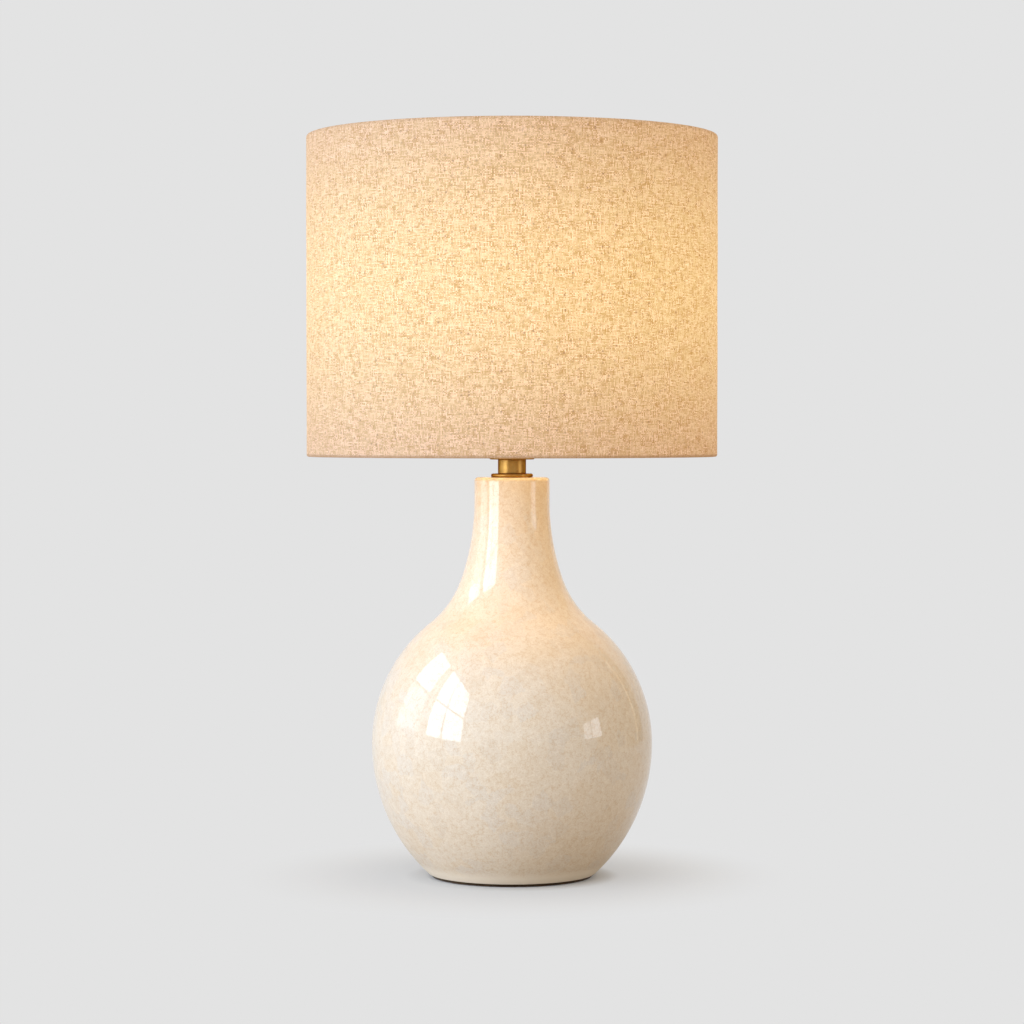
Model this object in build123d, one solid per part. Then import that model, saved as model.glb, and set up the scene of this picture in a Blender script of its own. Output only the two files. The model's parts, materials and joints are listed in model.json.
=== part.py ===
from build123d import *
from math import asin, atan2, cos, degrees, hypot, radians, sin, sqrt
import os

# A table lamp: a slip-cast ceramic bottle, brass neck pieces, a harp and a linen drum shade.
# Millimetres. The origin is the middle of the underside of the foot pad, +Z is up, -Y is the front.

# Ceramic body
foot_radius = 67.0
foot_rounding = 2.5
foot_ring_width = 29.0
belly_radius = 113.0
belly_height = 107.3
upper_belly_arc = 124.0
shoulder_arc = 78.0
neck_flare_arc = 188.0
neck_flare_reach = 6.4
neck_radius = 30.3
neck_straight = 19.6
lip_rounding = 3.2
ceramic_wall = 6.0
ceramic_top = 9.0
ceramic_floor = 8.0

# Felt pad under the foot
pad_thickness = 2.4
pad_inset = 2.2

# Cord bush in the back wall
inlet_height = 26.0
bush_bore = 3.6
bush_wall = 1.4
bush_flange_width = 2.6
bush_flange = 1.8
bush_spot_depth = 0.5
bush_tail = 3.0
bush_bead = 0.5
bush_gap = 0.1
bush_mouth = 1.0

# Threaded nipple and what it clamps
nipple_radius = 4.95
nipple_bore = 3.4
nipple_tail = 4.0
slip = 0.2
thread_gap = 0.05
gasket_radius = 17.0
gasket_thickness = 1.5
washer_radius = 15.0
washer_thickness = 2.0
lock_washer_width = 3.2
lock_washer_thickness = 1.8
lock_washer_split = 1.2
lock_washer_lean = 30.0
nut_across_flats = 14.3
nut_height = 5.5
nut_chamfer = 0.7

# Brass neck pieces
seat_ring_radius = 16.9
seat_ring_height = 2.9
seat_ring_rounding = 1.3
neck_tube_radius = 11.3
neck_tube_height = 11.4
neck_tube_edge = 0.4
check_ring_radius = 18.1
check_ring_height = 2.2
check_ring_rounding = 1.0

# Harp saddle and ferrules
harp_leg_offset = 27.0
saddle_strip = 1.6
saddle_width = 13.0
saddle_bend = 7.0
saddle_shoulder = 12.0
prong_length = 14.0
prong_width = 5.0
lap_gap = 0.3
ferrule_gap = 0.25
ferrule_wall = 1.0
ferrule_length = 15.0
ferrule_edge = 0.3
ferrule_travel = 16.0
seat_gap = 0.2

# Harp
harp_height = 241.5
harp_wire_radius = 2.0
harp_half_width = 56.0
harp_leg_margin = 3.0
harp_flare_height = 65.0
harp_leg_bend = 30.0
harp_side_bend = 80.0
harp_top_bend = 46.0
stud_radius = 3.17
stud_length = 11.0
stud_disc_radius = 9.5
stud_disc = 2.0
stud_boss_radius = 5.5
stud_boss_cover = 1.0
stud_boss_depth = 4.0

# Lamp socket
cap_collar_radius = 7.6
cap_collar_height = 9.0
cap_thread_depth = 8.0
cap_flare_height = 8.0
cap_radius = 16.9
cap_rim = 9.0
cap_sheet = 0.9
set_screw_radius = 1.5
set_screw_head_radius = 2.6
set_screw_head = 1.8
set_screw_height = 4.5
shell_sheet = 0.6
shell_length = 40.0
shell_lip = 1.0
shell_overlap = 7.0
liner_sheet = 0.5
block_over_switch = 6.0
screw_shell_sheet = 0.6
socket_gap = 0.1
contact_hole = 7.0
contact_leaf = 0.5
contact_leaf_width = 5.0
contact_leaf_reach = 5.5
contact_rise = 2.6
terminal_offset = 8.0
terminal_radius = 1.6
terminal_depth = 5.0
terminal_head_radius = 3.0
terminal_head = 1.8

# Turn switch
switch_over_cap = 5.0
shaft_radius = 2.0
shaft_depth = 11.0
shaft_reach = 14.0
running_gap = 0.05
knob_clear = 2.5
knob_barrel_radius = 4.5
knob_barrel = 9.0
knob_paddle_width = 16.0
knob_paddle_thickness = 4.0
knob_paddle = 14.0
knob_paddle_reach = 9.0
knob_paddle_corner = 5.0
knob_edge = 0.6

# Bulb
bulb_thread_radius = 13.05
bulb_cap_length = 17.5
bulb_cap_sheet = 0.5
bulb_insulator_height = 3.4
bulb_tip_radius = 4.6
bulb_tip = 1.4
bulb_foot_radius = 14.2
bulb_housing_height = 33.0
bulb_housing_radius = 27.0
bulb_housing_bow = 1.0
bulb_globe_radius = 30.0
bulb_globe_wall = 1.2
light_plate = 1.6
bulb_gap = 0.3

# Shade
shade_radius = 165.0
shade_height = 257.0
spider_recess = 15.5
linen = 0.8
liner = 0.5
layer_gap = 0.1
ring_wire_radius = 1.5
ring_gap = 0.7
hem_turn = 10.0
spoke_count = 3
first_spoke_angle = 90.0
spoke_radius = 1.6
spoke_bend = 8.0
spoke_rise_angle = 45.0
spoke_notch = 0.6
hub_radius = 13.0
hub_thickness = 2.0
hub_gap = 0.1

# Finial
insert_radius = 5.0
insert_length = 11.0
finial_gap = 0.2
finial_base_radius = 8.6
finial_base = 2.2
finial_neck_radius = 6.4
finial_cove = 3.0
finial_cove_depth = 0.6
finial_ball_radius = 9.0

# Edges closer than this are the same edge
same_place = 0.01

# Arcs of the ceramic outline: (radius, height) of each centre, and the angles where they meet
foot_rise = belly_height - pad_thickness
belly_overhang = belly_radius - foot_radius
lower_belly_arc = (belly_overhang**2 + foot_rise**2) / (2 * belly_overhang)
lower_centre = (belly_radius - lower_belly_arc, belly_height)
upper_centre = (belly_radius - upper_belly_arc, belly_height)
shoulder_centre_radius = neck_radius + neck_flare_reach + shoulder_arc
shoulder_run = shoulder_centre_radius - upper_centre[0]
shoulder_rise = sqrt((upper_belly_arc + shoulder_arc) ** 2 - shoulder_run**2)
shoulder_centre = (shoulder_centre_radius, belly_height + shoulder_rise)
shoulder_angle = degrees(atan2(shoulder_rise, shoulder_run))
flare_rise = sqrt(2 * neck_flare_reach * (neck_flare_arc - shoulder_arc - neck_flare_reach / 2))
flare_centre = (neck_radius + neck_flare_arc, shoulder_centre[1] + flare_rise)
flare_angle = degrees(asin(flare_rise / (neck_flare_arc - shoulder_arc)))
body_top = flare_centre[1] + neck_straight

# Heights of the stack above the ceramic
neck_tube_bottom = body_top + seat_ring_height
check_ring_bottom = neck_tube_bottom + neck_tube_height
saddle_bottom = check_ring_bottom + check_ring_height
socket_bottom = saddle_bottom + saddle_strip
nipple_top = socket_bottom + cap_thread_depth
slip_hole = nipple_radius + slip
thread_hole = nipple_radius + thread_gap

# Heights of the stack clamped under the top of the neck
gasket_top = body_top - ceramic_top
washer_top = gasket_top - gasket_thickness
lock_washer_top = washer_top - washer_thickness
nut_top = lock_washer_top - lock_washer_thickness
nipple_bottom = nut_top - nut_height - nipple_tail

# Socket
cap_flare_top = socket_bottom + cap_collar_height + cap_flare_height
cap_top = cap_flare_top + cap_rim
shell_radius = cap_radius - cap_sheet - socket_gap
shell_bottom = cap_top - shell_overlap
shell_top = shell_bottom + shell_length
liner_radius = shell_radius - shell_sheet - socket_gap
block_radius = liner_radius - liner_sheet - socket_gap
block_bottom = shell_bottom
screw_shell_inside = bulb_thread_radius + bulb_gap
switch_axis_height = cap_top + switch_over_cap
block_top = switch_axis_height + block_over_switch
shaft_hole = shaft_radius + running_gap

# Bulb
bulb_bottom = block_top + screw_shell_sheet + contact_rise + seat_gap
insulator_bottom = bulb_bottom + bulb_tip
screw_cap_bottom = insulator_bottom + bulb_insulator_height
housing_bottom = screw_cap_bottom + bulb_cap_length
housing_top = housing_bottom + bulb_housing_height
globe_centre = housing_top + sqrt(bulb_globe_radius**2 - bulb_housing_radius**2)

# Saddle and harp
prong_face = harp_leg_offset - lap_gap / 2
shoulder_height = saddle_bottom + saddle_shoulder
prong_top = shoulder_height + prong_length
prong_corner = hypot(saddle_strip + lap_gap / 2, prong_width / 2)
ferrule_bore = max(prong_corner, harp_wire_radius) + ferrule_gap
ferrule_bottom = shoulder_height + seat_gap
ferrule_top = ferrule_bottom + ferrule_length
disc_top = saddle_bottom + harp_height
disc_bottom = disc_top - stud_disc
harp_wire_height = disc_bottom - stud_boss_cover - harp_wire_radius

# Shade
hem_radius = ring_wire_radius + ring_gap + linen
ring_radius = shade_radius - hem_radius
hub_bottom = disc_top + hub_gap
hub_top = hub_bottom + hub_thickness
shade_top = hub_bottom + spider_recess
shade_bottom = shade_top - shade_height
liner_outside = shade_radius - linen - layer_gap
liner_inside = liner_outside - liner
spoke_height = hub_bottom + hub_thickness / 2


# Shared forms
def turned(edges):
    """A closed outline of (radius, height) edges, turned about the lamp's axis."""
    return revolve(Plane.XZ * make_face(edges), Axis.Z)


def turned_outline(*points):
    """A solid of revolution with straight sides."""
    return turned(Polyline(*points, close=True).edges())


def ring(outer, inner, bottom, height):
    """A plain round ring or tube on the lamp's axis."""
    top = bottom + height
    return turned_outline((inner, bottom), (outer, bottom), (outer, top), (inner, top))


def outer_rims(solid, radius):
    """The round edges of a turned piece that lie at the given radius."""
    circles = solid.edges().filter_by(GeomType.CIRCLE)
    return [edge for edge in circles if abs(edge.radius - radius) < same_place]


def rims_at(solid, radius, height):
    """Those of its round edges that also lie at the given height."""
    return [edge for edge in outer_rims(solid, radius) if abs(edge.center().Z - height) < same_place]


def crosswise(radius, start, end, height):
    """A round bar along Y at the given height."""
    middle = Plane((0, start, height), x_dir=(1, 0, 0), z_dir=(0, 1, 0))
    return extrude(middle * Circle(radius), end - start)


# Ceramic body
def wall_outline(inset, from_height):
    """The side of the bottle from a height near the foot to the neck, moved inwards by the inset."""
    drop = asin((belly_height - from_height) / (lower_belly_arc - inset))
    start = -degrees(drop)
    shoulder_turn = flare_angle - shoulder_angle
    return [
        CenterArc(lower_centre, lower_belly_arc - inset, start, -start),
        CenterArc(upper_centre, upper_belly_arc - inset, 0, shoulder_angle),
        CenterArc(shoulder_centre, shoulder_arc + inset, 180 + shoulder_angle, shoulder_turn),
        CenterArc(flare_centre, neck_flare_arc + inset, 180 + flare_angle, -flare_angle),
    ]


def inlet_plane():
    """On the outside of the back wall where the cord comes out, facing squarely out of the wall."""
    slope = asin((belly_height - inlet_height) / lower_belly_arc)
    radius = lower_centre[0] + lower_belly_arc * cos(slope)
    return Plane((0, radius, inlet_height), x_dir=(1, 0, 0), z_dir=(0, cos(slope), -sin(slope)))


def ceramic_body():
    floor_top = pad_thickness + ceramic_floor
    opening = foot_radius - foot_ring_width
    neck_inside = neck_radius - ceramic_wall
    outside = wall_outline(0, pad_thickness)
    inside = wall_outline(ceramic_wall, floor_top)
    rim = Polyline(
        outside[-1] @ 1,
        (neck_radius, body_top),
        (slip_hole, body_top),
        (slip_hole, gasket_top),
        (neck_inside, gasket_top),
        inside[-1] @ 1,
    )
    foot = Polyline(
        inside[0] @ 0,
        (opening, floor_top),
        (opening, pad_thickness),
        outside[0] @ 0,
    )
    body = turned(outside + inside + rim.edges() + foot.edges())
    body = fillet(rims_at(body, neck_radius, body_top), lip_rounding)
    body = fillet(rims_at(body, foot_radius, pad_thickness), foot_rounding)
    seat = inlet_plane().offset(-bush_spot_depth)
    hole_radius = bush_bore + bush_wall + bush_gap
    spot_radius = bush_bore + bush_wall + bush_flange_width + bush_gap
    hole_depth = ceramic_wall + bush_tail
    body -= extrude(seat * Circle(spot_radius), bush_flange)
    body -= extrude(seat * Circle(hole_radius), -hole_depth)
    return body


def foot_pad():
    return extrude(Circle(foot_radius - pad_inset), pad_thickness)


def cord_bush():
    barrel = bush_bore + bush_wall
    flange = barrel + bush_flange_width
    wall_end = bush_spot_depth - ceramic_wall
    bead_start = wall_end - 2 * bush_bead
    tail_end = wall_end - bush_tail
    outline = Polyline(
        (bush_bore + bush_mouth, bush_flange),
        (flange - bush_mouth, bush_flange),
        (flange, bush_flange - bush_mouth),
        (flange, 0),
        (barrel, 0),
        (barrel, bead_start),
        (barrel + bush_bead, bead_start - bush_bead),
        (barrel, tail_end),
        (bush_bore, tail_end),
        (bush_bore, bush_flange - bush_mouth),
    )
    mouth = CenterArc((bush_bore + bush_mouth, bush_flange - bush_mouth), bush_mouth, 90, 90)
    bush = revolve(Plane.XZ * make_face(outline.edges() + [mouth]), Axis.Z)
    return inlet_plane().offset(-bush_spot_depth).location * bush


# Nipple and the stack it clamps
def lamp_nipple():
    return ring(nipple_radius, nipple_bore, nipple_bottom, nipple_top - nipple_bottom)


def neck_gasket():
    return ring(gasket_radius, slip_hole, gasket_top - gasket_thickness, gasket_thickness)


def clamp_washer():
    return ring(washer_radius, slip_hole, washer_top - washer_thickness, washer_thickness)


def lock_washer():
    outer = slip_hole + lock_washer_width
    washer = ring(outer, slip_hole, nut_top, lock_washer_thickness)
    from_axis = (Align.MIN, Align.CENTER, Align.CENTER)
    split = Box(2 * outer, lock_washer_split, 2 * lock_washer_thickness, align=from_axis)
    middle = Pos(0, 0, nut_top + lock_washer_thickness / 2)
    return washer - middle * Rot(lock_washer_lean, 0, 0) * split


def clamp_nut():
    bottom = nut_top - nut_height
    across_corners = nut_across_flats / cos(radians(30))
    blank = extrude(Pos(0, 0, bottom) * RegularPolygon(across_corners / 2, 6), nut_height)
    cone_radius = across_corners / 2 - nut_chamfer
    envelope = turned_outline(
        (0, bottom),
        (cone_radius, bottom),
        (across_corners / 2, bottom + nut_chamfer),
        (across_corners / 2, nut_top - nut_chamfer),
        (cone_radius, nut_top),
        (0, nut_top),
    )
    bore = extrude(Pos(0, 0, bottom) * Circle(thread_hole), nut_height)
    return (blank & envelope) - bore


# Brass neck pieces
def seat_ring():
    blank = ring(seat_ring_radius, slip_hole, body_top, seat_ring_height)
    return fillet(outer_rims(blank, seat_ring_radius), seat_ring_rounding)


def neck_tube():
    blank = ring(neck_tube_radius, slip_hole, neck_tube_bottom, neck_tube_height)
    return chamfer(outer_rims(blank, neck_tube_radius), neck_tube_edge)


def check_ring():
    blank = ring(check_ring_radius, slip_hole, check_ring_bottom, check_ring_height)
    return fillet(outer_rims(blank, check_ring_radius), check_ring_rounding)


# Harp saddle, harp and ferrules
def saddle_face(half_width, bottom, bend):
    """A flat-bottomed U, filled in, with rounded lower corners."""
    height = prong_top - bottom
    blank = Pos(0, bottom + height / 2) * Rectangle(2 * half_width, height)
    return fillet(blank.vertices().group_by(Axis.Y)[0], bend)


def harp_saddle():
    outside = saddle_face(prong_face, saddle_bottom, saddle_bend)
    inside = saddle_face(prong_face - saddle_strip, socket_bottom, saddle_bend - saddle_strip)
    strip = extrude(Plane.XZ * (outside - inside), saddle_width / 2, both=True)
    beside_prong = (saddle_width - prong_width) / 2
    for side in (-1, 1):
        middle = side * (prong_width + beside_prong) / 2
        cut = Box(2 * (prong_face + saddle_strip), beside_prong, prong_length)
        strip -= Pos(0, middle, shoulder_height + prong_length / 2) * cut
    return strip - extrude(Pos(0, 0, saddle_bottom) * Circle(slip_hole), saddle_strip)


def harp_wire():
    leg_top = ferrule_top + ferrule_travel + harp_leg_margin
    turn = atan2(harp_half_width - harp_leg_offset, harp_flare_height)
    bend_start = leg_top + harp_leg_bend * sin(turn / 2) / cos(turn / 2)
    side = [
        (harp_leg_offset, ferrule_bottom),
        (harp_leg_offset, bend_start),
        (harp_half_width, bend_start + harp_flare_height),
        (harp_half_width, harp_wire_height),
    ]
    mirrored = [(-x, z) for x, z in reversed(side)]
    bends = [harp_leg_bend, harp_side_bend, harp_top_bend]
    line = Plane.XZ * FilletPolyline(*side, *mirrored, radius=bends + bends[::-1])
    section = Plane((harp_leg_offset, 0, ferrule_bottom)) * Circle(harp_wire_radius)
    wire = sweep(section, line)
    lap_height = prong_top + seat_gap - ferrule_bottom
    lap = Box(2 * (harp_leg_offset + lap_gap / 2), 4 * harp_wire_radius, lap_height)
    return wire - Pos(0, 0, ferrule_bottom + lap_height / 2) * lap


def harp_stud():
    boss_bottom = harp_wire_height - stud_boss_depth
    stud = turned_outline(
        (0, boss_bottom),
        (stud_boss_radius, boss_bottom),
        (stud_boss_radius, disc_bottom),
        (stud_disc_radius, disc_bottom),
        (stud_disc_radius, disc_top),
        (stud_radius, disc_top),
        (stud_radius, disc_top + stud_length),
        (0, disc_top + stud_length),
    )
    across = Plane((0, 0, harp_wire_height), z_dir=(1, 0, 0))
    wire_hole = Circle(harp_wire_radius + running_gap)
    return stud - extrude(across * wire_hole, 2 * stud_boss_radius, both=True)


def ferrule(side):
    sleeve = ring(ferrule_bore + ferrule_wall, ferrule_bore, ferrule_bottom, ferrule_length)
    sleeve = chamfer(outer_rims(sleeve, ferrule_bore + ferrule_wall), ferrule_edge)
    return Pos(side * harp_leg_offset, 0, 0) * sleeve


# Lamp socket
def socket_cap():
    collar_top = socket_bottom + cap_collar_height
    flare_width = cap_radius - cap_collar_radius
    outside = [
        Line((thread_hole, socket_bottom), (cap_collar_radius, socket_bottom)),
        Line((cap_collar_radius, socket_bottom), (cap_collar_radius, collar_top)),
        EllipticalCenterArc((cap_collar_radius, cap_flare_top), flare_width, cap_flare_height, 270),
        Line((cap_radius, cap_flare_top), (cap_radius, cap_top)),
        Line((cap_radius, cap_top), (cap_radius - cap_sheet, cap_top)),
    ]
    inner_radius = cap_radius - cap_sheet
    inner_width = inner_radius - thread_hole
    inner_floor = collar_top + cap_sheet
    inner_height = cap_flare_top - inner_floor
    inside = [
        Line((inner_radius, cap_top), (inner_radius, cap_flare_top)),
        EllipticalCenterArc((thread_hole, cap_flare_top), inner_width, inner_height, 270),
        Line((thread_hole, inner_floor), (thread_hole, socket_bottom)),
    ]
    cap = turned(outside + inside)
    screw_height = socket_bottom + set_screw_height
    return cap - crosswise(set_screw_radius + thread_gap, 0, 2 * cap_collar_radius, screw_height)


def cap_set_screw():
    height = socket_bottom + set_screw_height
    point = nipple_radius + thread_gap
    shank = crosswise(set_screw_radius, point, cap_collar_radius, height)
    head_end = cap_collar_radius + set_screw_head
    return shank + crosswise(set_screw_head_radius, cap_collar_radius, head_end, height)


def switch_hole(solid):
    """Opens the front of a sleeve for the switch shaft."""
    return solid - crosswise(shaft_radius + knob_clear / 2, -cap_radius, 0, switch_axis_height)


def socket_shell():
    lip_inside = shell_radius - shell_sheet - shell_lip
    inside = shell_radius - shell_sheet
    shell = turned_outline(
        (inside, shell_bottom),
        (shell_radius, shell_bottom),
        (shell_radius, shell_top),
        (lip_inside, shell_top),
        (lip_inside, shell_top - shell_sheet),
        (inside, shell_top - shell_sheet),
    )
    return switch_hole(fillet(rims_at(shell, shell_radius, shell_top), shell_sheet / 2))


def shell_liner():
    length = shell_length - shell_sheet - socket_gap
    return switch_hole(ring(liner_radius, liner_radius - liner_sheet, shell_bottom, length))


def switch_block():
    block = extrude(Pos(0, 0, block_bottom) * Circle(block_radius), block_top - block_bottom)
    block -= crosswise(shaft_hole, -2 * block_radius, shaft_depth - block_radius, switch_axis_height)
    screw_hole = Circle(terminal_radius + thread_gap)
    for side in (-1, 1):
        seat = Pos(side * terminal_offset, 0, block_bottom)
        block -= extrude(seat * screw_hole, terminal_depth + thread_gap)
    return block


def terminal_screws():
    screw = Circle(terminal_radius)
    head = Circle(terminal_head_radius)
    solids = []
    for side in (-1, 1):
        seat = Pos(side * terminal_offset, 0, block_bottom)
        solids.append(extrude(seat * screw, terminal_depth) + extrude(seat * head, -terminal_head))
    return Compound(children=solids)


def screw_shell():
    outside = screw_shell_inside + screw_shell_sheet
    floor_top = block_top + screw_shell_sheet
    top = shell_top - shell_sheet - socket_gap
    return turned_outline(
        (contact_hole, block_top),
        (outside, block_top),
        (outside, top),
        (screw_shell_inside, top),
        (screw_shell_inside, floor_top),
        (contact_hole, floor_top),
    )


def centre_contact():
    """A brass leaf, flat on the block at one end and sprung up to the bulb's tip in the middle."""
    top = block_top + screw_shell_sheet + contact_rise
    leaf = Polyline(
        (-contact_leaf_reach, block_top),
        (-contact_leaf_reach / 2, block_top),
        (-contact_leaf, top - contact_leaf),
        (contact_leaf_reach / 2, top - contact_leaf),
        (contact_leaf_reach / 2, top),
        (-2 * contact_leaf, top),
        (-contact_leaf_reach / 2 - contact_leaf, block_top + contact_leaf),
        (-contact_leaf_reach, block_top + contact_leaf),
        close=True,
    )
    return extrude(Plane.XZ * make_face(leaf.edges()), contact_leaf_width / 2, both=True)


# Turn switch
def switch_shaft():
    inner_end = shaft_depth - block_radius - seat_gap
    return crosswise(shaft_radius, -cap_radius - shaft_reach, inner_end, switch_axis_height)


def switch_knob():
    """A round barrel that ends in a flat paddle for finger and thumb."""
    start = -cap_radius - knob_clear
    barrel_end = start - knob_barrel
    barrel = crosswise(knob_barrel_radius, barrel_end, start, switch_axis_height)
    paddle = RectangleRounded(knob_paddle_width, knob_paddle, knob_paddle_corner)
    paddle_middle = Pos(0, barrel_end - knob_paddle_reach + knob_paddle / 2, switch_axis_height)
    blade = extrude(paddle_middle * paddle, knob_paddle_thickness / 2, both=True)
    levels = blade.edges().group_by(Axis.Z)
    blade = chamfer(levels[0] + levels[-1], knob_edge)
    bore = crosswise(shaft_hole, -cap_radius - shaft_reach - thread_gap, start, switch_axis_height)
    return barrel + blade - bore


# Bulb
def bulb_contact():
    return extrude(Pos(0, 0, bulb_bottom) * Circle(bulb_tip_radius), bulb_tip)


def bulb_insulator():
    return turned_outline(
        (0, insulator_bottom),
        (bulb_tip_radius + bulb_tip, insulator_bottom),
        (bulb_thread_radius - bulb_tip, screw_cap_bottom),
        (0, screw_cap_bottom),
    )


def bulb_screw_cap():
    inside = bulb_thread_radius - bulb_cap_sheet
    return turned_outline(
        (0, screw_cap_bottom),
        (bulb_thread_radius - bulb_tip, screw_cap_bottom),
        (bulb_thread_radius, screw_cap_bottom + bulb_tip),
        (bulb_thread_radius, housing_bottom),
        (inside, housing_bottom),
        (inside, screw_cap_bottom + bulb_tip),
        (0, screw_cap_bottom + bulb_tip),
    )


def bulb_housing():
    """The white collar between the screw cap and the globe, bowed inwards a little."""
    foot_corner = (bulb_foot_radius, housing_bottom)
    top_corner = (bulb_housing_radius, housing_top)
    side = SagittaArc(foot_corner, top_corner, bulb_housing_bow)
    ends = Polyline(top_corner, (0, housing_top), (0, housing_bottom), foot_corner)
    return turned([side] + ends.edges())


def bulb_light_plate():
    radius = bulb_housing_radius - bulb_globe_wall - 2 * bulb_gap
    return extrude(Pos(0, 0, housing_top) * Circle(radius), light_plate)


def bulb_globe():
    hollow_ball = Sphere(bulb_globe_radius) - Sphere(bulb_globe_radius - bulb_globe_wall)
    ball = Pos(0, 0, globe_centre) * hollow_ball
    hanging = (Align.CENTER, Align.CENTER, Align.MAX)
    below = Cylinder(2 * bulb_globe_radius, 2 * bulb_globe_radius, align=hanging)
    return ball - Pos(0, 0, housing_top) * below


# Shade
def hem(edge_height, up):
    """One rolled edge of the linen: from the wall round the wire and back against the liner."""
    centre_height = edge_height - up * hem_radius
    inner = hem_radius - linen
    target = liner_inside - layer_gap - ring_radius
    lean = atan2(inner, hem_turn) + asin(target / hypot(hem_turn, inner))
    centre = (ring_radius, centre_height)
    sweep_angle = up * (180 + degrees(lean))
    outer_roll = CenterArc(centre, hem_radius, 0, sweep_angle)
    inner_roll = CenterArc(centre, inner, 0, sweep_angle)
    flap = (hem_turn * sin(lean), -up * hem_turn * cos(lean))
    outer_end = outer_roll @ 1 + Vector(*flap)
    inner_end = inner_roll @ 1 + Vector(*flap)
    return [
        outer_roll,
        Line(outer_roll @ 1, outer_end),
        Line(outer_end, inner_end),
        Line(inner_end, inner_roll @ 1),
        inner_roll,
    ]


def shade_cover():
    top_hem = hem(shade_top, 1)
    bottom_hem = hem(shade_bottom, -1)
    walls = [Line(top_hem[k] @ 0, bottom_hem[k] @ 0) for k in (0, -1)]
    cover = turned(top_hem + bottom_hem + walls)
    notch_width = 2 * (spoke_radius + spoke_notch)
    notch_start = ring_radius - 2 * hem_radius
    notch_height = hem_turn + hem_radius
    outwards_and_down = (Align.MIN, Align.CENTER, Align.MAX)
    notch = Box(liner_inside - notch_start, notch_width, notch_height, align=outwards_and_down)
    notch_top = shade_top - hem_radius + spoke_radius
    for turn in spoke_angles():
        cover -= Rot(0, 0, turn) * Pos(notch_start, 0, notch_top) * notch
    return cover


def shade_liner():
    margin = hem_radius + ring_wire_radius + layer_gap
    return ring(liner_outside, liner_inside, shade_bottom + margin, shade_height - 2 * margin)


def shade_ring(height):
    return Pos(0, 0, height) * Torus(ring_radius, ring_wire_radius)


def spoke_angles():
    return [first_spoke_angle + 360 * k / spoke_count for k in range(spoke_count)]


def spider_spokes():
    """Wires that run level from the hub and then rise to meet the upper ring from inside."""
    rise = radians(spoke_rise_angle)
    reach = ring_wire_radius + layer_gap
    end = (ring_radius - reach * cos(rise), shade_top - hem_radius - reach * sin(rise))
    bend = (end[0] - (end[1] - spoke_height) * cos(rise) / sin(rise), spoke_height)
    start = (hub_radius + layer_gap, spoke_height)
    line = Plane.XZ * FilletPolyline(start, bend, end, radius=spoke_bend)
    section = Plane((start[0], 0, spoke_height), z_dir=(1, 0, 0)) * Circle(spoke_radius)
    spoke = sweep(section, line)
    return Compound(children=[Rot(0, 0, turn) * spoke for turn in spoke_angles()])


def spider_hub():
    return ring(hub_radius, stud_radius + slip, hub_bottom, hub_thickness)


# Finial
def finial_insert():
    return ring(insert_radius, stud_radius + running_gap, hub_top + finial_gap, insert_length)


def finial_knob():
    """A turned ball on a small moulded foot."""
    bottom = hub_top + finial_gap
    base_top = bottom + finial_base
    cove_top = base_top + finial_cove
    sink = asin(finial_neck_radius / finial_ball_radius)
    ball_centre = cove_top + finial_ball_radius * cos(sink)
    bore = insert_radius + running_gap
    bore_top = bottom + insert_length + running_gap
    outline = [
        Line((bore, bottom), (finial_base_radius, bottom)),
        Line((finial_base_radius, bottom), (finial_base_radius, base_top)),
        SagittaArc((finial_base_radius, base_top), (finial_neck_radius, cove_top), finial_cove_depth),
        CenterArc((0, ball_centre), finial_ball_radius, degrees(sink) - 90, 180 - degrees(sink)),
        Line((0, ball_centre + finial_ball_radius), (0, bore_top)),
        Line((0, bore_top), (bore, bore_top)),
        Line((bore, bore_top), (bore, bottom)),
    ]
    return turned(outline)


pieces = {
    "ceramic_body": ceramic_body(),
    "foot_pad": foot_pad(),
    "cord_bush": cord_bush(),
    "lamp_nipple": lamp_nipple(),
    "neck_gasket": neck_gasket(),
    "clamp_washer": clamp_washer(),
    "lock_washer": lock_washer(),
    "clamp_nut": clamp_nut(),
    "seat_ring": seat_ring(),
    "neck_tube": neck_tube(),
    "check_ring": check_ring(),
    "harp_saddle": harp_saddle(),
    "socket_cap": socket_cap(),
    "cap_set_screw": cap_set_screw(),
    "socket_shell": socket_shell(),
    "shell_liner": shell_liner(),
    "switch_block": switch_block(),
    "terminal_screws": terminal_screws(),
    "screw_shell": screw_shell(),
    "centre_contact": centre_contact(),
    "switch_shaft": switch_shaft(),
    "switch_knob": switch_knob(),
    "bulb_contact": bulb_contact(),
    "bulb_insulator": bulb_insulator(),
    "bulb_screw_cap": bulb_screw_cap(),
    "bulb_housing": bulb_housing(),
    "bulb_light_plate": bulb_light_plate(),
    "bulb_globe": bulb_globe(),
    "harp_wire": harp_wire(),
    "harp_stud": harp_stud(),
    "ferrule_left": ferrule(-1),
    "ferrule_right": ferrule(1),
    "shade_cover": shade_cover(),
    "shade_liner": shade_liner(),
    "shade_top_ring": shade_ring(shade_top - hem_radius),
    "shade_bottom_ring": shade_ring(shade_bottom + hem_radius),
    "spider_spokes": spider_spokes(),
    "spider_hub": spider_hub(),
    "finial_insert": finial_insert(),
    "finial_knob": finial_knob(),
}

os.makedirs("parts", exist_ok=True)
for name, piece in pieces.items():
    export_step(piece, f"parts/{name}.step")
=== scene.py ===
import json
import random
from math import asin, atan2, cos, degrees, hypot, pi, radians, sin, sqrt

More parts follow.
